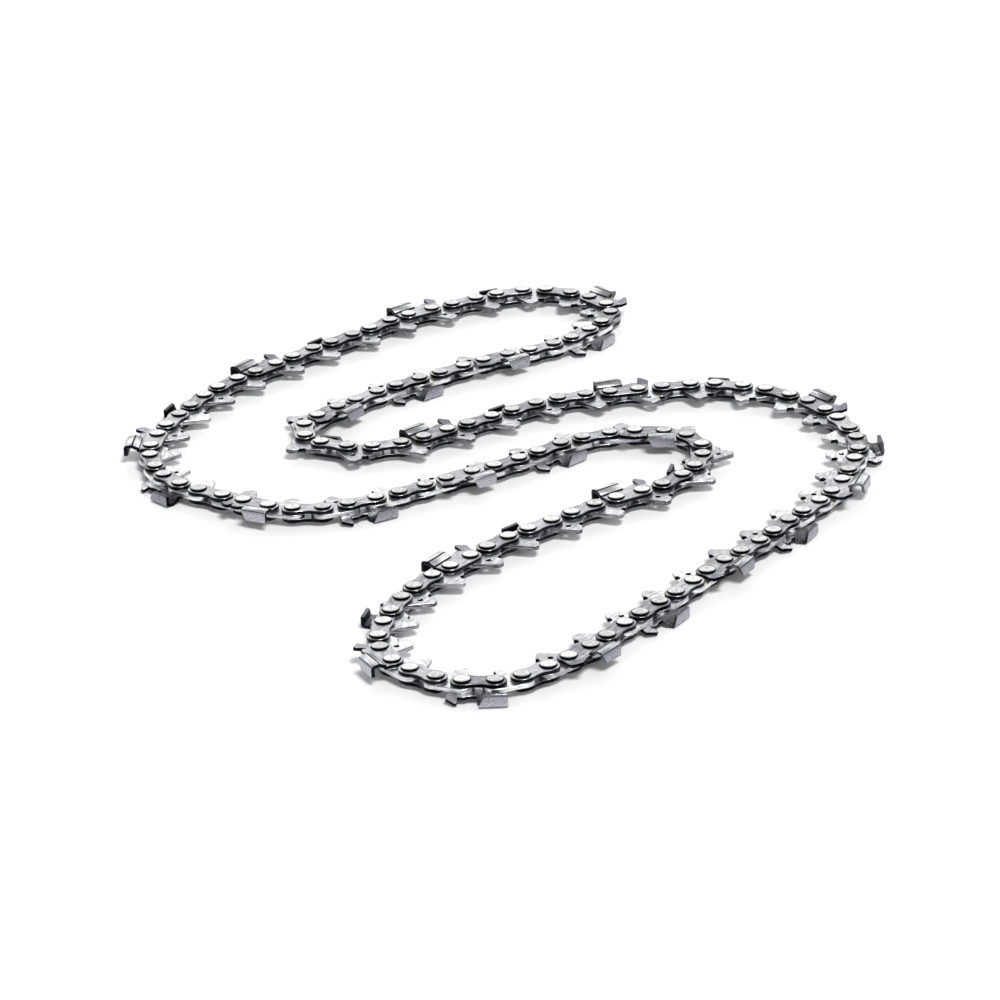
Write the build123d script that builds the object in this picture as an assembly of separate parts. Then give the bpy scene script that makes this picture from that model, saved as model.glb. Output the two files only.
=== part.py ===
"""Loop of chainsaw chain, lying loosely on its side with its rivet axes upright.

The middle layer is the drive links, with their tangs pointing into the loop. Cutters and tie straps lie
above and below them, and every pair of holes is closed by a rivet. Sizes are in millimetres. The origin is
under the middle of the loop, on the surface that the loop lies on.
"""
from build123d import *
import math
import os

# Make-up of the loop: each repeat is four drive links, a cutter of each hand, six tie straps and eight rivets
REPEATS = 18

# Rivet spacing: pitch is the mean of the two
STRAP_SPACING = 8.84
DRIVE_SPACING = 7.67

# Layers, from the middle of the chain outwards
DRIVE_GAUGE = 1.3           # thickness of a drive link, which is the width of the bar groove it runs in
SIDE_GAP = 0.05             # running gap between a drive link and the plate beside it
PLATE = 1.15                # thickness of tie straps and cutters

# Rivets
HUB_DIA = 5.0               # thick middle of the rivet, which the drive link turns on
HUB_CLEARANCE = 0.05        # radial gap between the hub and its hole in the drive link
SHANK_DIA = 3.2             # thinner ends of the rivet, tight in the plates
HEAD_DIA = 4.5
HEAD_EDGE = 0.55            # height of the head's upright rim
HEAD_CROWN = 0.15           # further rise of the head to its middle

# Tie straps
STRAP_END_GAP = 1.27        # between the round ends of two neighbouring straps
STRAP_WAIST = 5.2           # height of a strap at its waist
WAIST_RADIUS = 8.0

# Drive links
DRIVE_END_GAP = 1.84        # between the round ends of two neighbouring drive links
TANG_DEPTH = 9.3            # from the rivet line to the tip of the tang
TANG_TIP_BACK = 2.0         # from the rear rivet forward to the back of the tip
TANG_TIP = 1.5              # length of the blunt tip along the chain
TANG_TIP_ROUND = 0.5
TANG_REAR_ANGLE = 205       # where the tang's rear edge leaves the rear round end, in degrees
TANG_FRONT_ANGLE = -42      # where the tang's front edge leaves the front round end
NOTCH_RADIUS = 1.2          # half-round oil notch in the tang's front edge
NOTCH_SHARE = 0.42          # place of the notch along that edge, from the tip
OIL_HOLE_DIA = 1.6
OIL_HOLE_FORWARD = 2.3      # from the rear rivet
OIL_HOLE_DEPTH = 4.7        # from the rivet line

# Cutters
TOP_HEIGHT = 8.3            # from the rivet line to the top plate's cutting edge
TOP_WIDTH = 3.7             # across the chain
TOP_REACH = 4.6             # cutting corner, forward of the rear rivet
HEEL_REACH = 3.9            # heel of the top plate, behind the rear rivet
HEEL_LEAN = 0.9             # the heel's rear edge leans back by this much on its way up
TOP_RELIEF = 5.0            # the top plate falls towards its heel by this angle
SIDE_STEP = 1.3             # side plate stands out beyond the straps by this much
STEP_START = 3.7            # the side plate leaves the plane of the base at this height above the rivet line
STEP_RUN = 0.3              # with a sharp step over this much height
STEP_RISE = 0.5             # that takes it outwards by this much
SLOPE_RUN = 1.7             # and then slopes out the rest of the way over this much height
FOLD_RADIUS = 0.5           # inside radius of the fold from side plate to top plate
FILE_DIA = 4.8              # round file that shapes the gullet and the cutting edge
FILE_PROUD = 0.96           # the file stands above the top plate by this much
FILE_ANGLE = 30             # the file lies at this angle to straight across the chain
GAUGE_DROP = 0.4            # depth gauge is lower than the cutting edge by this much
GAUGE_BACK = 1.0            # its rear edge, forward of the front rivet
GAUGE_FRONT = 4.3           # foot of its front ramp, forward of the front rivet
GAUGE_TOE = 5.3             # height of that foot above the rivet line
GAUGE_ROUND = 0.6
GAUGE_BEND = 3.4            # above this height the gauge is bent outwards
GAUGE_LEAN = 14             # by this angle
WEB_HEIGHT = 5.2            # plate behind the gullet, above the rivet line

# Lay of the loop: a closed curve through points chosen from the photograph, which is then scaled so that the
# chain closes exactly. The first point is the rear rivet of the first upper-hand cutter.
GUIDE = [
    (-106, 26), (-99, 50), (-89, 69), (-62, 98), (-30, 127), (0, 144), (16, 147), (31, 138), (37, 126),
    (33, 113), (21, 100), (-7, 84), (-38, 62), (-54, 47), (-60, 32), (-53, 22), (-38, 19), (-13, 31),
    (14, 49), (50, 57), (72, 57), (90, 45), (103, 25), (106, 4), (100, -20), (80, -52), (50, -91),
    (20, -130), (-2, -147), (-20, -144), (-33, -130), (-35, -110), (-26, -86), (-8, -63), (26, -33),
    (50, -16), (60, 1), (58, 14), (47, 22), (28, 20), (4, 4), (-32, -18), (-54, -27), (-78, -18), (-98, -1),
]
LOOSE = 0.4                 # rivets lie off the guide by up to this much, as in a slack chain
LOOSE_TURN = 75             # angle in degrees that spreads those offsets unevenly from rivet to rivet
WALK_TRIES = 7              # corrections of each step from rivet to rivet, each far smaller than the last

# Sizes that follow from the ones above
RIVETS = 8 * REPEATS
HUB_RADIUS = HUB_DIA / 2
SHANK_RADIUS = SHANK_DIA / 2
HEAD_RADIUS = HEAD_DIA / 2
STRAP_END = (DRIVE_SPACING - STRAP_END_GAP) / 2
DRIVE_END = (STRAP_SPACING - DRIVE_END_GAP) / 2
PLATE_INNER = DRIVE_GAUGE / 2 + SIDE_GAP
PLATE_OUTER = PLATE_INNER + PLATE
SIDE_OUTER = PLATE_OUTER + SIDE_STEP
GAUGE_TOP = TOP_HEIGHT - GAUGE_DROP


def lay_rivets():
    """Rivet centres round the loop, spaced as straps and drive links in turn."""
    guide = Spline(*GUIDE, periodic=True)
    length = guide.length

    def place(t, index):
        side = guide.tangent_at(t % 1).rotate(Axis.Z, 90)
        return guide.position_at(t % 1) + side * LOOSE * math.sin(math.radians(index * LOOSE_TURN))

    def walk(scale):
        t = 0.0
        places = [place(t, 0)]
        for index in range(1, RIVETS + 1):
            reach = (STRAP_SPACING if index % 2 else DRIVE_SPACING) / scale
            step = reach / length
            for _ in range(WALK_TRIES):
                gap = (place(t + step, index % RIVETS) - places[-1]).length
                step += (reach - gap) / length
            t += step
            places.append(place(t, index % RIVETS))
        return places[:-1], t - 1

    # The scale is found where the last rivet meets the first
    low = REPEATS * 4 * (STRAP_SPACING + DRIVE_SPACING) / length
    high = low * 0.99
    places, low_miss = walk(low)
    for _ in range(8):
        places, high_miss = walk(high)
        if abs(high_miss * length) < 1e-7:
            break
        better = high - high_miss * (high - low) / (high_miss - low_miss)
        low, low_miss, high = high, high_miss, better
    return [point * high for point in places]


def slot(spacing, end_radius):
    """Outline with round ends about two rivets, the rear one at the origin."""
    return Pos(spacing / 2, 0) * SlotCenterToCenter(spacing, 2 * end_radius)


def rivet_holes(spacing, radius):
    return Circle(radius) + Pos(spacing, 0) * Circle(radius)


def polar(radius, angle):
    return (radius * math.cos(math.radians(angle)), radius * math.sin(math.radians(angle)))


def tie_strap():
    """Plate with a waist, lying on the plane of its inner face."""
    waist_centre = STRAP_WAIST / 2 + WAIST_RADIUS
    outline = slot(STRAP_SPACING, STRAP_END)
    for side in (-1, 1):
        outline -= Pos(STRAP_SPACING / 2, side * waist_centre) * Circle(WAIST_RADIUS)
    return extrude(outline - rivet_holes(STRAP_SPACING, SHANK_RADIUS), PLATE)


def drive_link(oil_hole):
    """Middle plate, with its tang on the -Y side."""
    rear = polar(DRIVE_END, TANG_REAR_ANGLE)
    front_x, front_y = polar(DRIVE_END, TANG_FRONT_ANGLE)
    front = (DRIVE_SPACING + front_x, front_y)
    tip_rear = (TANG_TIP_BACK, -TANG_DEPTH)
    tip_front = (TANG_TIP_BACK + TANG_TIP, -TANG_DEPTH)
    tang = make_face(Polyline((0, 0), rear, tip_rear, tip_front, front, (DRIVE_SPACING, 0), close=True))
    tang = fillet(tang.vertices().sort_by(Axis.Y)[:2], TANG_TIP_ROUND)
    notch = Vector(*tip_front) + (Vector(*front) - Vector(*tip_front)) * NOTCH_SHARE
    outline = slot(DRIVE_SPACING, DRIVE_END) + tang - Pos(notch.X, notch.Y) * Circle(NOTCH_RADIUS)
    outline -= rivet_holes(DRIVE_SPACING, HUB_RADIUS + HUB_CLEARANCE)
    if oil_hole:
        outline -= Pos(OIL_HOLE_FORWARD, -OIL_HOLE_DEPTH) * Circle(OIL_HOLE_DIA / 2)
    return extrude(outline, DRIVE_GAUGE / 2, both=True)


def rivet():
    """Turned rivet: hub, a shank each side and two crowned heads."""
    rim = PLATE_OUTER + HEAD_EDGE
    crown = rim + HEAD_CROWN
    steps = [(0, 0), (HUB_RADIUS, 0), (HUB_RADIUS, PLATE_INNER), (SHANK_RADIUS, PLATE_INNER)]
    steps += [(SHANK_RADIUS, PLATE_OUTER), (HEAD_RADIUS, PLATE_OUTER), (HEAD_RADIUS, rim)]
    side = Polyline(*steps)
    crown_radius = (HEAD_RADIUS ** 2 + HEAD_CROWN ** 2) / (2 * HEAD_CROWN)
    top = RadiusArc((HEAD_RADIUS, rim), (0, crown), -crown_radius)
    middle = Line((0, crown), (0, 0))
    half = revolve(Plane.XZ * make_face(side + top + middle), Axis.Z)
    return half + mirror(half, about=Plane.XY)


def cutter():
    """Upper-hand cutter: one plate, folded over the chain on the +Y side and filed to an edge."""
    gauge_back = STRAP_SPACING + GAUGE_BACK
    gauge = make_face(Polyline(
        (gauge_back, 0), (gauge_back, GAUGE_TOP), (STRAP_SPACING + GAUGE_FRONT, GAUGE_TOE),
        (STRAP_SPACING + STRAP_END, STRAP_END / 3), (STRAP_SPACING, 0), close=True))
    gauge = fillet(gauge.vertices().sort_by(Axis.Y)[-2:], GAUGE_ROUND)
    above_bend = Rectangle(2 * TOP_HEIGHT, TOP_HEIGHT, align=(Align.CENTER, Align.MIN))
    bent = gauge & Pos(gauge_back, GAUGE_BEND) * above_bend
    web = Pos(TOP_REACH, 0) * Rectangle(gauge_back - TOP_REACH, WEB_HEIGHT, align=(Align.MIN, Align.MIN))
    base = slot(STRAP_SPACING, STRAP_END) + (gauge - bent) + web
    plate = Pos(0, 0, PLATE_INNER) * extrude(base, PLATE)
    bend_line = Pos(0, GAUGE_BEND, PLATE_INNER)
    plate += bend_line * Rot(GAUGE_LEAN, 0, 0) * Pos(0, -GAUGE_BEND, 0) * extrude(bent, PLATE)

    # Folded section across the chain: base, step and slope outwards, side plate and top plate
    step_top = STEP_START + STEP_RUN
    slope_end = step_top + SLOPE_RUN
    under = TOP_HEIGHT - PLATE
    inner_edge = SIDE_OUTER - TOP_WIDTH
    section = make_face(Polyline(
        (STRAP_END / 2, PLATE_INNER), (STEP_START, PLATE_INNER), (step_top, PLATE_INNER + STEP_RISE),
        (slope_end, SIDE_OUTER - PLATE), (under, SIDE_OUTER - PLATE), (under, inner_edge),
        (TOP_HEIGHT, inner_edge), (TOP_HEIGHT, SIDE_OUTER), (slope_end, SIDE_OUTER),
        (step_top, PLATE_OUTER + STEP_RISE), (STEP_START, PLATE_OUTER), (STRAP_END / 2, PLATE_OUTER),
        close=True))
    fold_inside = section.vertices().sort_by_distance((under, SIDE_OUTER - PLATE))[0]
    section = fillet(fold_inside, FOLD_RADIUS)
    fold_outside = section.vertices().sort_by_distance((TOP_HEIGHT, SIDE_OUTER))[0]
    section = fillet(fold_outside, FOLD_RADIUS + PLATE / 2)
    across = Plane((TOP_REACH, 0, 0), x_dir=(0, 1, 0), z_dir=(1, 0, 0))
    fall = math.tan(math.radians(TOP_RELIEF))
    fold_length = TOP_REACH + HEEL_REACH
    fold = extrude(across * section, fold_length * math.hypot(1, fall), dir=(-1, -fall, 0))
    heel_low = -HEEL_REACH + HEEL_LEAN
    behind = heel_low - TOP_HEIGHT
    heel = make_face(Polyline(
        (heel_low, 0), (-HEEL_REACH, TOP_HEIGHT), (behind, TOP_HEIGHT), (behind, 0), close=True))
    fold -= extrude(heel, 2 * SIDE_OUTER, both=True)

    # The file leaves the gullet and the slanted edge, with the outer corner leading
    file_radius = FILE_DIA / 2
    file_height = TOP_HEIGHT + FILE_PROUD - file_radius
    above = TOP_HEIGHT - file_height
    edge_back = math.sqrt(file_radius ** 2 - above ** 2) / math.cos(math.radians(FILE_ANGLE))
    file_place = Pos(TOP_REACH + edge_back, file_height, SIDE_OUTER) * Rot(0, FILE_ANGLE, 0)
    blank = plate + fold - file_place * Cylinder(file_radius, 8 * SIDE_OUTER)
    holes = extrude(rivet_holes(STRAP_SPACING, SHANK_RADIUS), 2 * SIDE_OUTER, both=True)
    return blank - holes


def along(start, end, height=0.0):
    """Place of a link whose rear rivet is at start and whose front rivet is at end."""
    heading = math.degrees(math.atan2(end.Y - start.Y, end.X - start.X))
    return Pos(start.X, start.Y, height) * Rot(0, 0, heading)


def build_sections():
    """One set of drive links, side links and rivets for each repeat, in order round the loop."""
    rivets = lay_rivets()
    drive_links = [drive_link(oil_hole=False), drive_link(oil_hole=True)]
    strap = tie_strap()
    strap_over = PLATE_INNER
    strap_under = -PLATE_OUTER
    upper_cutter = cutter()
    lower_cutter = mirror(upper_cutter, about=Plane.XY)
    one_rivet = rivet()
    sections = {}
    for repeat in range(REPEATS):
        first = 8 * repeat + 2
        at = [rivets[(first + step) % RIVETS] for step in range(9)]
        side_links = []
        middle = []
        for pair in range(4):
            rear, front, following = at[2 * pair:2 * pair + 3]
            middle.append(along(front, following) * drive_links[pair % 2])
            side_links.append(
                along(rear, front) * upper_cutter if pair == 3 else along(rear, front, strap_over) * strap)
            side_links.append(
                along(rear, front) * lower_cutter if pair == 1 else along(rear, front, strap_under) * strap)
        label = f"{repeat + 1:02d}"
        sections[f"drive_links_{label}"] = middle
        sections[f"side_links_{label}"] = side_links
        sections[f"rivets_{label}"] = [Pos(point.X, point.Y, 0) * one_rivet for point in at[:8]]
    return sections


def main():
    os.makedirs("parts", exist_ok=True)
    sections = build_sections()
    box = Compound([piece for pieces in sections.values() for piece in pieces]).bounding_box()
    to_origin = Pos(-box.center().X, -box.center().Y, -box.min.Z)
    for name, pieces in sections.items():
        export_step(Compound([to_origin * piece for piece in pieces]), f"parts/{name}.step")
    print("size", box.size, "shift", to_origin.position)


main()
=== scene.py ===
"""Loop of chainsaw chain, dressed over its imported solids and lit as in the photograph."""
import bmesh
import bpy
import math
from mathutils import Matrix, Vector


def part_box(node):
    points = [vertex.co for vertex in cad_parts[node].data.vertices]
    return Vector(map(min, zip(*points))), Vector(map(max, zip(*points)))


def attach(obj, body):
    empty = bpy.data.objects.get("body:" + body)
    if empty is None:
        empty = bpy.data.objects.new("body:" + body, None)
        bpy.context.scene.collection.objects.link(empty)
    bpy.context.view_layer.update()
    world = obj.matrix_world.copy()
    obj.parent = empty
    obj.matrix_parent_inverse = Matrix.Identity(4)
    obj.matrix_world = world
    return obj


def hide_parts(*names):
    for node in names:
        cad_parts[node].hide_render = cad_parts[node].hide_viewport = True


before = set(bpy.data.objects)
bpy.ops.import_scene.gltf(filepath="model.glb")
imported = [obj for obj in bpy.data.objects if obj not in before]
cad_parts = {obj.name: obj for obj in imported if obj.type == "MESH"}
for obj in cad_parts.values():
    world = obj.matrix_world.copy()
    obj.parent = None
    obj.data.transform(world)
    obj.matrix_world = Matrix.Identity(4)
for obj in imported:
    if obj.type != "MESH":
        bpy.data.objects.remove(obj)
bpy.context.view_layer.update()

MM = 0.001

# Sizes are in millimetres, the same as the solids have. A link's own frame has its rear rivet at the
# origin, +X the way the chain runs, +Y the side that cuts, and Z along the rivets from the chain's middle.

# Layers of the chain: drive links, side links, and the cutters' side plates, which the chain lies on
DRIVE_HALF = 0.65
PLATE_IN = 0.70
PLATE_OUT = 1.85
SHEET_HALF = (PLATE_OUT - PLATE_IN) / 2
SIDE_OUT = 3.15
MID_HEIGHT = SIDE_OUT

# Tie strap, whose ends, holes and rivet spacing the cutter shares
STRAP_SPACING = 8.84
STRAP_END = 3.2
WAIST_RADIUS = 8.0
WAIST_HALF = 2.6
HOLE_RADIUS = 1.6

# Drive link: its round ends, the degrees at which the tang's edges leave them, the tang and its openings
DRIVE_SPACING = 7.67
DRIVE_END = 3.5
HUB_HOLE = 2.55
TANG_REAR_LEAVE = 222
TANG_FRONT_LEAVE = -42
TANG_DEPTH = 9.3
TANG_TIP_BACK = 2.0
TANG_TIP_FRONT = 3.5
TANG_TIP_ROUND = 0.5
NOTCH = Vector((6.34, -6.38))
NOTCH_RADIUS = 1.2
OIL_HOLE = (2.3, -4.7)
OIL_HOLE_RADIUS = 0.8

# Rivet: the spun head, the hub between the side links and the ring round the head's foot that carries painted
# shade
HEAD_TOP = 2.55
HEAD_RADIUS = 2.25
HUB_RADIUS = 2.5
SHADED_RING = 2.55
RIVET_STEPS = 36

# Cutter's folded sheet: the top plate, the step and slope that carry the side plate outwards, and the heel
TOP_HEIGHT = 8.3
TOP_WIDTH = 3.7
TOP_REACH = 4.6
TOP_RELIEF = math.tan(math.radians(5))
STEP_START = 3.7
STEP_TOP = 4.0
STEP_RISE = 0.5
SLOPE_END = 5.7
BEND_LINE = 0.2
FOLD_MID_RADIUS = 0.65
SIDE_DROP = 0.15
MITRE_ROOM = 0.02
HEEL_LOW = -3.0
HEEL_LEAN = 0.9
HEEL_LEAVE = 165

# Round file that cut the gullet and the cutting edge, held at a slant across the chain
FILE_RADIUS = 2.4
FILE_HEIGHT = 6.86
FILE_SLANT = math.radians(30)
FILE_ACROSS = FILE_RADIUS / math.cos(FILE_SLANT)
FILE_AHEAD = 6.817
WEB_HEIGHT = 5.2

# Depth gauge, bent outwards
GAUGE_FOOT = (12.04, 1.07)
GAUGE_TOE = (13.14, 5.3)
GAUGE_BACK = 9.84
GAUGE_TOP = 7.9
GAUGE_ROUND = 0.6
GAUGE_BEND = 3.4
GAUGE_LEAN = math.radians(14)

# Softened edges, and the turns between faces that count as edges
EDGE = 0.18
EDGE_STEPS = 2
FOLD_EDGE = 0.5 * EDGE
FOLD_SHARP = math.radians(50)
CREASE = math.radians(32)

# How far a face's normal has to lean one way for the face to count as level, flat or sloping
LEVEL_FROM = 0.85
FLAT_FROM = 0.6
SLOPING_FROM = 0.3

# A section of the chain: its rivets, its drive links, and which of its pairs of side links hold a cutter
RIVETS_EACH = 8
DRIVES_EACH = 4
LOWER_CUTTER_AT = 1
UPPER_CUTTER_AT = 3

# Packed rivets: how far below the highest point a crown may lie, and how far apart two crowns are at least
CROWN_SLACK = 0.001
CROWN_APART = 1.0

# How much the links differ from one another: in tone, and in millimetres along the pattern. A sine picks
# both, and turns by so many radians from link to link and for each millimetre across the loop.
TONE_SPREAD = 0.09
PATTERN_SHIFT = 40
TURN_PER_LINK = 2.4
TURN_PER_MM = 7.1

# Pattern of the steels: its grain, where it is deep or pale, where it is dull or glossy, and its dents
CLOUD_DETAIL = 5.0
CLOUD_ROUGHNESS = 0.65
DEEP_BELOW = 0.36
PALE_ABOVE = 0.62
DULL_BELOW = 0.3
GLOSSY_ABOVE = 0.7
DULLER = 0.08
GLOSSIER = 0.06
DENT_DEPTH = 0.02

# Scales of a pattern along X, Y and Z: a number below 1 draws the marks out that way
ROLLED_WAY = (0.3, 1, 1)
BLANKED_WAY = (0.15, 0.15, 1)
SHADE_EDGE_WAY = (0.4, 0.4, 1)
FILED_WAY = (1, 1, 0.2)

# Floor, in metres, and its gloss
FLOOR_REACH = 12.0
FLOOR_ROUGHNESS = 0.35

# Brightness of the room along one axis of the direction looked in: the axis, where a change starts and
# ends on it, and the brightness before and after. The room is white at middle heights, most of all on the
# far side, and dim along the horizon and overhead.
FAR_SIDE = ("Y", -0.1, 0.35, 0.7, 1.25)
HORIZON = ("Z", 0.08, 0.26, 0.05, 1.0)
OVERHEAD = ("Z", 0.55, 0.8, 1.0, 0.2)

# High key light from the right and a little from the front, wide enough to soften the shadows
KEY_STRENGTH = 2.65
KEY_WIDTH = math.radians(22)
KEY_WAY = Vector((-0.3, 0.5, -1.1))

# The camera, fitted to the rivets in the photograph, with its tilt and roll in radians
CAMERA_PLACE = Vector((-1.18, -1186.4, 503.9)) * MM
CAMERA_DOWN = 0.40618
CAMERA_ROLL = 0.04006
CAMERA_LENS = 155.87
SENSOR_WIDTH = 36
SIGHT_END = 60


# Colour and finish

def linear(code):
    """sRGB hex to linear colour."""
    values = [int(code[i:i + 2], 16) / 255 for i in (1, 3, 5)]
    return tuple(v / 12.92 if v <= 0.04045 else ((v + 0.055) / 1.055) ** 2.4 for v in values) + (1.0,)


def add_node(tree, kind, settings=None, inputs=None):
    """Adds a node, sets its properties, and sets or links its inputs."""
    node = tree.nodes.new(kind)
    for key, value in (settings or {}).items():
        setattr(node, key, value)
    for key, value in (inputs or {}).items():
        if isinstance(value, bpy.types.NodeSocket):
            tree.links.new(value, node.inputs[key])
        else:
            node.inputs[key].default_value = value
    return node


def steel(name, pale, deep, roughness, mottle, streak=(1, 1, 1), bump=0.2):
    """Steel whose tone wanders from pale to deep over mottle millimetres, drawn out by streak."""
    material = bpy.data.materials.new(name)
    material.use_nodes = True
    tree = material.node_tree
    shader = tree.nodes["Principled BSDF"]
    where = add_node(tree, "ShaderNodeAttribute", {"attribute_name": "link_place"})
    stretch = add_node(tree, "ShaderNodeMapping", inputs={
        "Vector": where.outputs["Vector"], "Scale": streak})
    cloud = add_node(tree, "ShaderNodeTexNoise", inputs={
        "Vector": stretch.outputs["Vector"], "Scale": 1 / (mottle * MM),
        "Detail": CLOUD_DETAIL, "Roughness": CLOUD_ROUGHNESS})
    tone = add_node(tree, "ShaderNodeAttribute", {"attribute_name": "link_tone"})
    mixed = add_node(tree, "ShaderNodeMath", {"operation": "ADD"}, {
        0: cloud.outputs["Fac"], 1: tone.outputs["Fac"]})
    ramp = add_node(tree, "ShaderNodeValToRGB", inputs={"Fac": mixed.outputs["Value"]})
    ramp.color_ramp.elements[0].position = DEEP_BELOW
    ramp.color_ramp.elements[0].color = linear(deep)
    ramp.color_ramp.elements[1].position = PALE_ABOVE
    ramp.color_ramp.elements[1].color = linear(pale)
    rough = add_node(tree, "ShaderNodeMapRange", inputs={
        "Value": cloud.outputs["Fac"], "From Min": DULL_BELOW, "From Max": GLOSSY_ABOVE,
        "To Min": roughness + DULLER, "To Max": roughness - GLOSSIER})
    dents = add_node(tree, "ShaderNodeBump", inputs={
        "Height": cloud.outputs["Fac"], "Strength": bump, "Distance": DENT_DEPTH * MM})
    tree.links.new(ramp.outputs["Color"], shader.inputs["Base Color"])
    tree.links.new(rough.outputs["Result"], shader.inputs["Roughness"])
    tree.links.new(dents.outputs["Normal"], shader.inputs["Normal"])
    shader.inputs["Metallic"].default_value = 1.0
    return material


# The real marks of rolling, blanking, tumbling and filing are a tenth of a millimetre wide or less, too fine
# to show in the render, so every mottle below is drawn several times as coarse.

# Cold-rolled strip: the drive link's flats are almost as white as what they reflect
rolled_steel = steel(
    "rolled_steel_bright", "#FBFBFC", "#B8B8BD", roughness=0.30, mottle=0.9, streak=ROLLED_WAY)
# Fine-blanked edge of the drive link: a pale burnished band and dark tear lines, all along the edge
blanked_edge = steel(
    "blanked_edge_banded", "#FCFCFE", "#98969F", roughness=0.30, mottle=0.5, streak=BLANKED_WAY)
# Punched edge of the tang: grey with dark tear lines, so that the tang stands out from the floor
torn_edge = steel(
    "torn_edge_grey", "#B4B3B9", "#3E3D44", roughness=0.34, mottle=0.5, streak=BLANKED_WAY)
# Tumbled strip of straps and cutters: faintly lavender flats with drawn-out grey marks
tumbled_steel = steel(
    "tumbled_steel_lavender", "#CDCDD1", "#818188", roughness=0.28, mottle=1.0, streak=ROLLED_WAY)
# Upright faces of straps and cutters, painted near black as painted shade and dark reflection: a black
# outline under each bright flat. The same black is painted shade along the cutter's bend and inside the drive
# link's notch and oil hole
shade_black_edge = steel(
    "painted_shade_black_edge", "#1D1D28", "#040406", roughness=0.34, mottle=0.8, streak=SHADE_EDGE_WAY)
# Industrial chrome on the cutter's outside: satin lavender-grey, speckled
satin_chrome = steel(
    "satin_chrome_speckled", "#C8C7D1", "#878692", roughness=0.45, mottle=0.35, bump=0.5)
# Filed cutting edge and the cutter's unpolished inside: dull dark grey with marks across the chain
filed_steel = steel(
    "filed_steel_grey", "#87878E", "#28282D", roughness=0.36, mottle=0.4, streak=FILED_WAY)
# Spun rivet crown, almost white, and its upright rim, painted black as painted shade
spun_crown = steel("spun_rivet_crown", "#FBFBF9", "#C6C6C7", roughness=0.26, mottle=0.7)
painted_shade_rim = steel("spun_rivet_rim_painted_shade", "#111115", "#030304", roughness=0.4, mottle=0.6)


def coated_paper():
    """Coated white paper: an even, bright ground with a faint sheen."""
    material = bpy.data.materials.new("white_paper")
    material.use_nodes = True
    shader = material.node_tree.nodes["Principled BSDF"]
    shader.inputs["Base Color"].default_value = linear("#F7F7F7")
    shader.inputs["Roughness"].default_value = FLOOR_ROUGHNESS
    return material


# Finishes of each kind of piece, and their places in its list: on every piece, on cutters, on drive links
STRAP_FINISHES = [tumbled_steel, shade_black_edge]
CUTTER_FINISHES = [tumbled_steel, shade_black_edge, satin_chrome, filed_steel, rolled_steel]
DRIVE_FINISHES = [rolled_steel, blanked_edge, shade_black_edge, torn_edge]
RIVET_FINISHES = [spun_crown, painted_shade_rim]
FLAT, UPRIGHT = 0, 1
CHROMED, FILED, BRIGHT = 2, 3, 4
PAINTED_SHADE, TORN = 2, 3


# Shapes of the links

def arc(centre, radius, start, end, steps, squeeze=1.0):
    """Points along an arc between two angles in degrees, squeezed in Y for an ellipse."""
    points = []
    for i in range(steps + 1):
        angle = math.radians(start + (end - start) * i / steps)
        x = centre[0] + radius * math.cos(angle)
        y = centre[1] + squeeze * radius * math.sin(angle)
        points.append((x, y))
    return points


def rounded(before, corner, after, radius, steps=5):
    """Points of the round at a corner between two straight edges."""
    corner = Vector(corner)
    back = (Vector(before) - corner).normalized()
    ahead = (Vector(after) - corner).normalized()
    half = back.angle(ahead) / 2
    middle = corner + (back + ahead).normalized() * radius / math.sin(half)
    first = corner + back * radius / math.tan(half) - middle
    last = corner + ahead * radius / math.tan(half) - middle
    return [tuple(middle + radius * first.slerp(last, i / steps)) for i in range(steps + 1)]


def hole(x, y, radius, steps=20):
    """Points of a round hole."""
    return arc((x, y), radius, 0, 360 - 360 / steps, steps - 1)


def rivet_holes(spacing, radius):
    """The two holes that a link turns on."""
    return [hole(0, 0, radius), hole(spacing, 0, radius)]


def as_mesh(bm, name):
    """Mesh with what was built in a bmesh, which is then freed."""
    mesh = bpy.data.meshes.new(name)
    bm.to_mesh(mesh)
    bm.free()
    return mesh


def plate(outline, holes, low, high):
    """Flat link between two heights, with softened edges."""
    curve = bpy.data.curves.new("plate", "CURVE")
    curve.dimensions = "2D"
    curve.fill_mode = "BOTH"
    for loop in [outline] + [opening[::-1] for opening in holes]:
        spline = curve.splines.new("POLY")
        spline.points.add(len(loop) - 1)
        spline.use_cyclic_u = True
        for point, (x, y) in zip(spline.points, loop):
            point.co = (x * MM, y * MM, 0, 1)
    curve.bevel_depth = EDGE * MM
    curve.bevel_resolution = EDGE_STEPS
    curve.offset = -EDGE * MM
    curve.extrude = ((high - low) / 2 - EDGE) * MM
    holder = bpy.data.objects.new("plate", curve)
    mesh = bpy.data.meshes.new_from_object(holder)
    mesh.transform(Matrix.Translation((0, 0, (low + high) / 2 * MM)))
    bpy.data.objects.remove(holder)
    bpy.data.curves.remove(curve)
    return mesh


def tie_strap(low, high):
    """Strap with a waist and two rivet holes."""
    middle = STRAP_SPACING / 2
    centre = WAIST_HALF + WAIST_RADIUS
    swing = math.degrees(math.acos((centre - STRAP_END) / WAIST_RADIUS))
    outline = arc((0, 0), STRAP_END, 90, 270, steps=16)
    outline += arc((middle, -centre), WAIST_RADIUS, 90 + swing, 90 - swing, steps=10)
    outline += arc((STRAP_SPACING, 0), STRAP_END, -90, 90, steps=16)
    outline += arc((middle, centre), WAIST_RADIUS, -90 + swing, -90 - swing, steps=10)
    return plate(outline, rivet_holes(STRAP_SPACING, HOLE_RADIUS), low, high)


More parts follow.
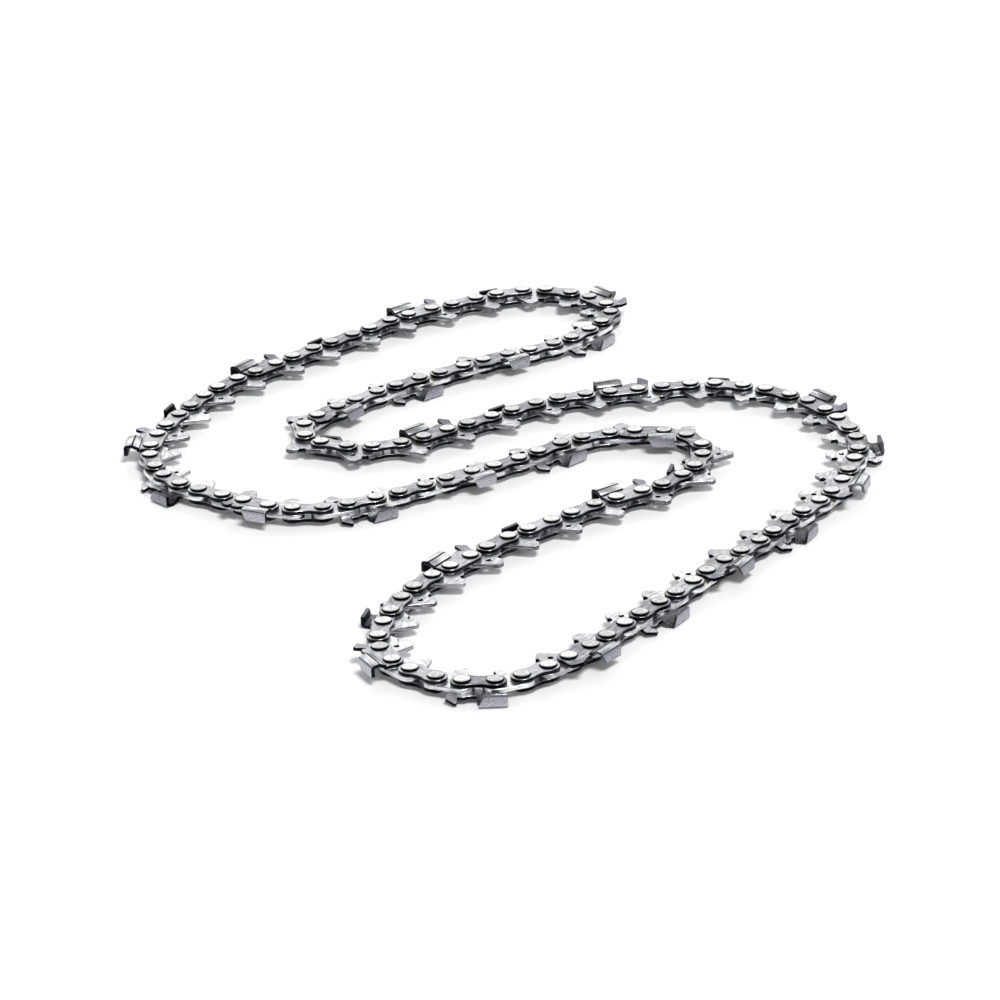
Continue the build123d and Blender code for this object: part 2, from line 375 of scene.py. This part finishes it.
def drive_link(oil_hole):
    """Middle link with its tang, the oil notch in the tang's front edge and, on some, an oil hole."""
    tip_rear = (TANG_TIP_BACK, -TANG_DEPTH)
    tip_front = (TANG_TIP_FRONT, -TANG_DEPTH)
    rear_edge = arc((0, 0), DRIVE_END, 90, TANG_REAR_LEAVE, steps=14)
    front_edge = arc((DRIVE_SPACING, 0), DRIVE_END, TANG_FRONT_LEAVE, 90, steps=14)
    slope = Vector(front_edge[0]) - Vector(tip_front)
    lean = math.degrees(math.atan2(slope.y, slope.x))
    outline = list(rear_edge)
    outline += rounded(rear_edge[-1], tip_rear, tip_front, TANG_TIP_ROUND)
    outline += rounded(tip_rear, tip_front, front_edge[0], TANG_TIP_ROUND)
    outline += arc(NOTCH, NOTCH_RADIUS, lean + 180, lean, steps=10)
    outline += front_edge
    holes = rivet_holes(DRIVE_SPACING, HUB_HOLE)
    if oil_hole:
        holes.append(hole(*OIL_HOLE, OIL_HOLE_RADIUS, steps=16))
    return plate(outline, holes, -DRIVE_HALF, DRIVE_HALF)


def file_centre(z):
    """How far forward the middle of the round file lies at a height, because it is held at a slant."""
    return FILE_AHEAD + (z - SIDE_OUT) * math.tan(FILE_SLANT)


def filed_front(y, z):
    """Front end of the folded sheet, where the file has cut it."""
    off = (y - FILE_HEIGHT) / FILE_RADIUS
    if abs(off) >= 1:
        return TOP_REACH
    return min(TOP_REACH, file_centre(z) - FILE_ACROSS * math.sqrt(1 - off * off))


def gauge_front(y):
    """Point on the front edge of the depth gauge at a distance from the rivet line."""
    share = (y - GAUGE_FOOT[1]) / (GAUGE_TOE[1] - GAUGE_FOOT[1])
    return (GAUGE_FOOT[0] + share * (GAUGE_TOE[0] - GAUGE_FOOT[0]), y)


def cutter_base():
    """Riveted part of the cutter, with the floor of the gullet, up to the bend of its depth gauge."""
    centre = (file_centre((PLATE_IN + PLATE_OUT) / 2), FILE_HEIGHT)
    squeeze = FILE_RADIUS / FILE_ACROSS
    right = -math.degrees(math.asin((FILE_HEIGHT - WEB_HEIGHT) / FILE_RADIUS))
    left = -180 + math.degrees(math.acos((centre[0] - TOP_REACH) / FILE_ACROSS))
    crease = STEP_START - (TOP_REACH - HEEL_LOW) * TOP_RELIEF
    outline = arc((0, 0), STRAP_END, HEEL_LEAVE, 270, steps=12)
    outline += arc((STRAP_SPACING, 0), STRAP_END, -90, 0, steps=10)
    outline += [GAUGE_FOOT, gauge_front(GAUGE_BEND), (GAUGE_BACK, GAUGE_BEND), (GAUGE_BACK, WEB_HEIGHT)]
    outline += arc(centre, FILE_ACROSS, right, left, steps=14, squeeze=squeeze)
    outline += [(TOP_REACH, STEP_START), (HEEL_LOW - HEEL_LEAN * crease / TOP_HEIGHT, crease)]
    return plate(outline, rivet_holes(STRAP_SPACING, HOLE_RADIUS), PLATE_IN, PLATE_OUT)


def depth_gauge():
    """Depth gauge above its bend, with a ramp at its front, leaning outwards."""
    foot = gauge_front(GAUGE_BEND - EDGE)
    rear_foot = (GAUGE_BACK, GAUGE_BEND - EDGE)
    top = (GAUGE_BACK, GAUGE_TOP)
    outline = [foot]
    outline += rounded(foot, GAUGE_TOE, top, GAUGE_ROUND)
    outline += rounded(GAUGE_TOE, top, rear_foot, GAUGE_ROUND)
    outline += [rear_foot]
    mesh = plate(outline, [], PLATE_IN, PLATE_OUT)
    bend = Matrix.Translation((0, GAUGE_BEND * MM, PLATE_IN * MM))
    mesh.transform(bend @ Matrix.Rotation(GAUGE_LEAN, 4, "X") @ bend.inverted())
    return mesh


def fold_line():
    """Middle of the folded sheet, seen along the chain, as Y and Z of its points from step to free edge."""
    base = PLATE_IN + SHEET_HALF
    side = SIDE_OUT - SHEET_HALF
    top = TOP_HEIGHT - SHEET_HALF
    bend = (side - SIDE_DROP - FOLD_MID_RADIUS, top - FOLD_MID_RADIUS)
    fall = BEND_LINE * (side - base - STEP_RISE) / (SLOPE_END - STEP_TOP)
    line = [(STEP_START - EDGE, base), (STEP_START, base), (STEP_TOP, base + STEP_RISE)]
    line += [(SLOPE_END - BEND_LINE, side - fall), (SLOPE_END + BEND_LINE, side - MITRE_ROOM)]
    line += [(y, z) for z, y in arc(bend, FOLD_MID_RADIUS, 0, 90, steps=8)]
    line += [(top, SIDE_OUT - TOP_WIDTH)]
    return line


def thickened(line):
    """Section of the sheet round its middle line: along its outer side and back along its inner side."""
    ways = [(Vector(b) - Vector(a)).normalized() for a, b in zip(line, line[1:])]
    outer = []
    inner = []
    for i, point in enumerate(line):
        arriving = ways[max(i - 1, 0)]
        leaving = ways[min(i, len(ways) - 1)]
        between = (arriving + leaving).normalized()
        offset = Vector((-between.y, between.x)) * SHEET_HALF / between.dot(leaving)
        outer.append(Vector(point) + offset)
        inner.append(Vector(point) - offset)
    return outer + inner[::-1]


def cutter_fold():
    """Side plate and top plate: one sheet that steps out, folds over and ends at the filed edge."""
    section = thickened(fold_line())
    count = len(section)
    bm = bmesh.new()
    rear = []
    front = []
    for y, z in section:
        heel = HEEL_LOW - HEEL_LEAN * y / TOP_HEIGHT
        for end, x in ((rear, heel), (front, filed_front(y, z))):
            end.append(bm.verts.new((x * MM, (y - (TOP_REACH - x) * TOP_RELIEF) * MM, z * MM)))
    for i in range(count):
        j = (i + 1) % count
        bm.faces.new((rear[i], rear[j], front[j], front[i]))
    for i in range(count // 2 - 1):
        j = i + 1
        filed = bm.faces.new((front[i], front[j], front[count - 1 - j], front[count - 1 - i]))
        filed.material_index = FILED
        bm.faces.new((rear[j], rear[i], rear[count - 1 - i], rear[count - 1 - j]))
    bmesh.ops.recalc_face_normals(bm, faces=bm.faces)
    sharp = [e for e in bm.edges if len(e.link_faces) == 2 and e.calc_face_angle() > FOLD_SHARP]
    bmesh.ops.bevel(
        bm, geom=sharp, offset=FOLD_EDGE * MM, segments=EDGE_STEPS, profile=0.5, affect="EDGES")
    return as_mesh(bm, "fold")


def rivet():
    """Turned rivet: hub, two shanks and two spun crowns, each with a ring round its foot that is painted dark
    as painted shade.
    """
    # Radius and height of the profile's points
    groove = [(0.55, 2.545), (0.62, 2.52), (0.75, 2.52), (0.82, 2.53)]
    dome = [(1.4, 2.49), (1.9, 2.44)]
    shoulder = [(2.12, 2.41), (2.21, 2.36), (HEAD_RADIUS, 2.27)]
    # The ring round the head's foot is painted as dark as the rim: painted shade where the head meets the
    # strap
    oil = [(2.27, 1.9), (SHADED_RING, 1.87), (SHADED_RING, PLATE_OUT)]
    shank = [(HOLE_RADIUS, PLATE_OUT), (HOLE_RADIUS, PLATE_IN)]
    half = [(0, HEAD_TOP)] + groove + dome + shoulder + oil + shank + [(HUB_RADIUS, PLATE_IN)]
    profile = half + [(r, -z) for r, z in half[::-1]]
    bm = bmesh.new()
    rings = []
    for r, z in profile:
        if r == 0:
            rings.append([bm.verts.new((0, 0, z * MM))] * RIVET_STEPS)
        else:
            circle = hole(0, 0, r, RIVET_STEPS)
            rings.append([bm.verts.new((x * MM, y * MM, z * MM)) for x, y in circle])
    for above, below in zip(rings, rings[1:]):
        for i in range(RIVET_STEPS):
            j = (i + 1) % RIVET_STEPS
            # A face at either end of the axis has three corners, because two of the four are the same
            corners = dict.fromkeys((above[i], below[i], below[j], above[j]))
            bm.faces.new(list(corners))
    bmesh.ops.recalc_face_normals(bm, faces=bm.faces)
    return as_mesh(bm, "rivet")


def joined(*meshes):
    """One mesh made of several."""
    bm = bmesh.new()
    for mesh in meshes:
        bm.from_mesh(mesh)
    return as_mesh(bm, "joined")


def flat_or_edge(mesh):
    """Flats take the first finish and upright edges the second, unless they are filed."""
    # On straps, cutters and rivets the second finish is painted shade: upright faces there are painted near
    # black for the dark reflections and shade they show
    for face in mesh.polygons:
        if face.material_index != FILED:
            face.material_index = FLAT if abs(face.normal.z) > FLAT_FROM else UPRIGHT
        face.use_smooth = True
    mesh.set_sharp_from_angle(angle=CREASE)
    return mesh


def cutter():
    """Upper-hand cutter: bright side plate, painted shade along its bends, dull inside, chromed top and
    gauge, and inner faces ahead of the top plate painted bright as painted light.
    """
    mesh = flat_or_edge(joined(cutter_base(), depth_gauge(), cutter_fold()))
    for face in mesh.polygons:
        x = face.center.x / MM
        height = face.center.y / MM + max(0, TOP_REACH - x) * TOP_RELIEF
        up = face.normal.z
        out = face.normal.y
        if face.material_index == FILED:
            continue
        if x > GAUGE_BACK and height > GAUGE_BEND and up > FLAT_FROM:
            face.material_index = CHROMED
        # Inner faces ahead of the top plate, the gauge's among them, take the bright finish as painted light,
        # to look lit where the lower cutter turns them up
        elif x > TOP_REACH and up < -FLAT_FROM:
            face.material_index = BRIGHT
        elif x > TOP_REACH or height < STEP_TOP:
            continue
        elif up < -SLOPING_FROM:
            face.material_index = FILED
        # A band along the bend between slope and side plate, and faces leaning out more than up, are painted
        # black: painted shade in the crease
        elif abs(height - SLOPE_END) < BEND_LINE or out > up > FLAT_FROM:
            face.material_index = UPRIGHT
        elif up > LEVEL_FROM:
            face.material_index = BRIGHT
        elif up > SLOPING_FROM or out > SLOPING_FROM:
            face.material_index = CHROMED
    return mesh


def mirrored(mesh):
    """The same link for the other hand."""
    other = mesh.copy()
    other.transform(Matrix.Diagonal((1, 1, -1, 1)))
    other.flip_normals()
    return other


def finished_drive(mesh):
    """Drive link whose tang has torn edges and whose oil notch and oil hole are painted black inside as
    painted shade.
    """
    for face in flat_or_edge(mesh).polygons:
        spot = face.center.xy / MM
        in_notch = (spot - NOTCH).length < NOTCH_RADIUS + EDGE
        in_oil_hole = (spot - Vector(OIL_HOLE)).length < OIL_HOLE_RADIUS + EDGE
        if face.material_index == FLAT:
            continue
        # Walls of the notch and the oil hole are painted black: painted shade inside them
        if in_notch or in_oil_hole:
            face.material_index = PAINTED_SHADE
        elif spot.y < -HUB_HOLE:
            face.material_index = TORN
    return mesh


def finished_rivet(mesh):
    """Rivet whose rim and the ring round its foot are painted dark as painted shade."""
    for face in flat_or_edge(mesh).polygons:
        if face.center.xy.length > HEAD_RADIUS * MM:
            face.material_index = UPRIGHT
    return mesh


# Where the links lie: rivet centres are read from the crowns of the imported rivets, in order along the chain

def crowns(label):
    """Rivet centres of one section."""
    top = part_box(f"rivets_{label}")[1].z
    spots = []
    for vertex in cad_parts[f"rivets_{label}"].data.vertices:
        spot = Vector((vertex.co.x, vertex.co.y))
        on_crown = vertex.co.z > top - CROWN_SLACK * MM
        if on_crown and all((spot - other).length > CROWN_APART * MM for other in spots):
            spots.append(spot)
    return spots


def in_order(spots, previous):
    """Centres of a section, from the one nearest the section before it."""
    row = [min(spots, key=lambda s: min((s - p).length for p in previous))]
    rest = [s for s in spots if s is not row[0]]
    while rest:
        row.append(min(rest, key=lambda s: (s - row[-1]).length))
        rest.remove(row[-1])
    return row


def along(start, end):
    """Place of a link whose rear and front rivets are at start and end."""
    heading = math.atan2(end.y - start.y, end.x - start.x)
    return Matrix.Translation((start.x, start.y, MID_HEIGHT * MM)) @ Matrix.Rotation(heading, 4, "Z")


def piece(name, body, node, finishes, copies):
    """One object made of placed links, each with its own slight tone and its own part of the pattern."""
    bm = bmesh.new()
    tone = bm.verts.layers.float.new("link_tone")
    own_place = bm.verts.layers.float_vector.new("link_place")
    for index, (link, place) in enumerate(copies):
        start = len(bm.verts)
        bm.from_mesh(link)
        bm.verts.ensure_lookup_table()
        new = bm.verts[start:]
        shade = math.sin(TURN_PER_LINK * index + TURN_PER_MM * place.translation.x / MM)
        for vertex in new:
            vertex[tone] = TONE_SPREAD * shade
            vertex[own_place] = vertex.co + Vector((shade, shade, shade)) * PATTERN_SHIFT * MM
        bmesh.ops.transform(bm, matrix=place, verts=new)
    mesh = as_mesh(bm, name)
    for finish in finishes:
        mesh.materials.append(finish)
    made = bpy.data.objects.new(name, mesh)
    bpy.context.scene.collection.objects.link(made)
    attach(made, body)
    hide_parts(node)


labels = sorted(name[-2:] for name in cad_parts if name.startswith("rivets_"))
found = {label: crowns(label) for label in labels}
rivets = []
for number, label in enumerate(labels):
    rivets += in_order(found[label], found[labels[number - 1]])

upper_strap = flat_or_edge(tie_strap(PLATE_IN, PLATE_OUT))
lower_strap = flat_or_edge(tie_strap(-PLATE_OUT, -PLATE_IN))
plain_drive = finished_drive(drive_link(False))
oiled_drive = finished_drive(drive_link(True))
upper_cutter = cutter()
lower_cutter = mirrored(upper_cutter)
one_rivet = finished_rivet(rivet())

for number, label in enumerate(labels):
    at = [rivets[(RIVETS_EACH * number + step) % len(rivets)] for step in range(RIVETS_EACH + 1)]
    straps = []
    cutters = []
    drives = []
    for pair in range(DRIVES_EACH):
        rear, front, beyond = at[2 * pair:2 * pair + 3]
        side_place = along(rear, front)
        if pair == UPPER_CUTTER_AT:
            cutters.append((upper_cutter, side_place))
        else:
            straps.append((upper_strap, side_place))
        if pair == LOWER_CUTTER_AT:
            cutters.append((lower_cutter, side_place))
        else:
            straps.append((lower_strap, side_place))
        drives.append((oiled_drive if pair % 2 else plain_drive, along(front, beyond)))
    heads = []
    for spot in at[:RIVETS_EACH]:
        heads.append((one_rivet, Matrix.Translation((spot.x, spot.y, MID_HEIGHT * MM))))
    body = f"section_{label}"
    piece(f"tie_straps_{label}", body, f"side_links_{label}", STRAP_FINISHES, straps)
    piece(f"cutters_{label}", body, f"side_links_{label}", CUTTER_FINISHES, cutters)
    piece(f"drive_set_{label}", body, f"drive_links_{label}", DRIVE_FINISHES, drives)
    piece(f"rivet_set_{label}", body, f"rivets_{label}", RIVET_FINISHES, heads)


# Floor, light and camera

def white_floor():
    """White sweep that the chain lies on."""
    signs = ((-1, -1), (1, -1), (1, 1), (-1, 1))
    corners = [(x * FLOOR_REACH, y * FLOOR_REACH, 0) for x, y in signs]
    mesh = bpy.data.meshes.new("white_floor")
    mesh.from_pydata(corners, [], [(0, 1, 2, 3)])
    mesh.materials.append(coated_paper())
    floor = bpy.data.objects.new("white_floor", mesh)
    bpy.context.scene.collection.objects.link(floor)


white_floor()

world = bpy.data.worlds.new("studio")
world.use_nodes = True
room = world.node_tree
look = add_node(room, "ShaderNodeTexCoord")
axes = add_node(room, "ShaderNodeSeparateXYZ", inputs={"Vector": look.outputs["Generated"]})
brightness = 1.0
for axis, start, end, before, after in (FAR_SIDE, HORIZON, OVERHEAD):
    change = add_node(room, "ShaderNodeMapRange", {"interpolation_type": "SMOOTHSTEP"}, {
        "Value": axes.outputs[axis], "From Min": start, "From Max": end, "To Min": before, "To Max": after})
    product = add_node(room, "ShaderNodeMath", {"operation": "MULTIPLY"}, {
        0: brightness, 1: change.outputs["Result"]})
    brightness = product.outputs["Value"]
room.links.new(brightness, room.nodes["Background"].inputs["Strength"])
room.nodes["Background"].inputs["Color"].default_value = (1, 1, 1, 1)
bpy.context.scene.world = world

key = bpy.data.lights.new("key_light", "SUN")
key.energy = KEY_STRENGTH
key.angle = KEY_WIDTH
lamp = bpy.data.objects.new("key_light", key)
lamp.rotation_euler = KEY_WAY.to_track_quat("-Z", "Y").to_euler()
bpy.context.scene.collection.objects.link(lamp)

camera_data = bpy.data.cameras.new("camera")
camera_data.sensor_width = SENSOR_WIDTH
camera_data.lens = CAMERA_LENS
camera_data.clip_end = SIGHT_END
camera = bpy.data.objects.new("camera", camera_data)
ahead = Vector((0, math.cos(CAMERA_DOWN), -math.sin(CAMERA_DOWN)))
level_up = Vector((0, math.sin(CAMERA_DOWN), math.cos(CAMERA_DOWN)))
level_right = Vector((1, 0, 0))
right = level_right * math.cos(CAMERA_ROLL) - level_up * math.sin(CAMERA_ROLL)
up = level_right * math.sin(CAMERA_ROLL) + level_up * math.cos(CAMERA_ROLL)
camera.matrix_world = Matrix.Translation(CAMERA_PLACE) @ Matrix((right, up, -ahead)).transposed().to_4x4()
bpy.context.scene.collection.objects.link(camera)
bpy.context.scene.camera = camera
bpy.context.scene.view_settings.view_transform = "Standard"
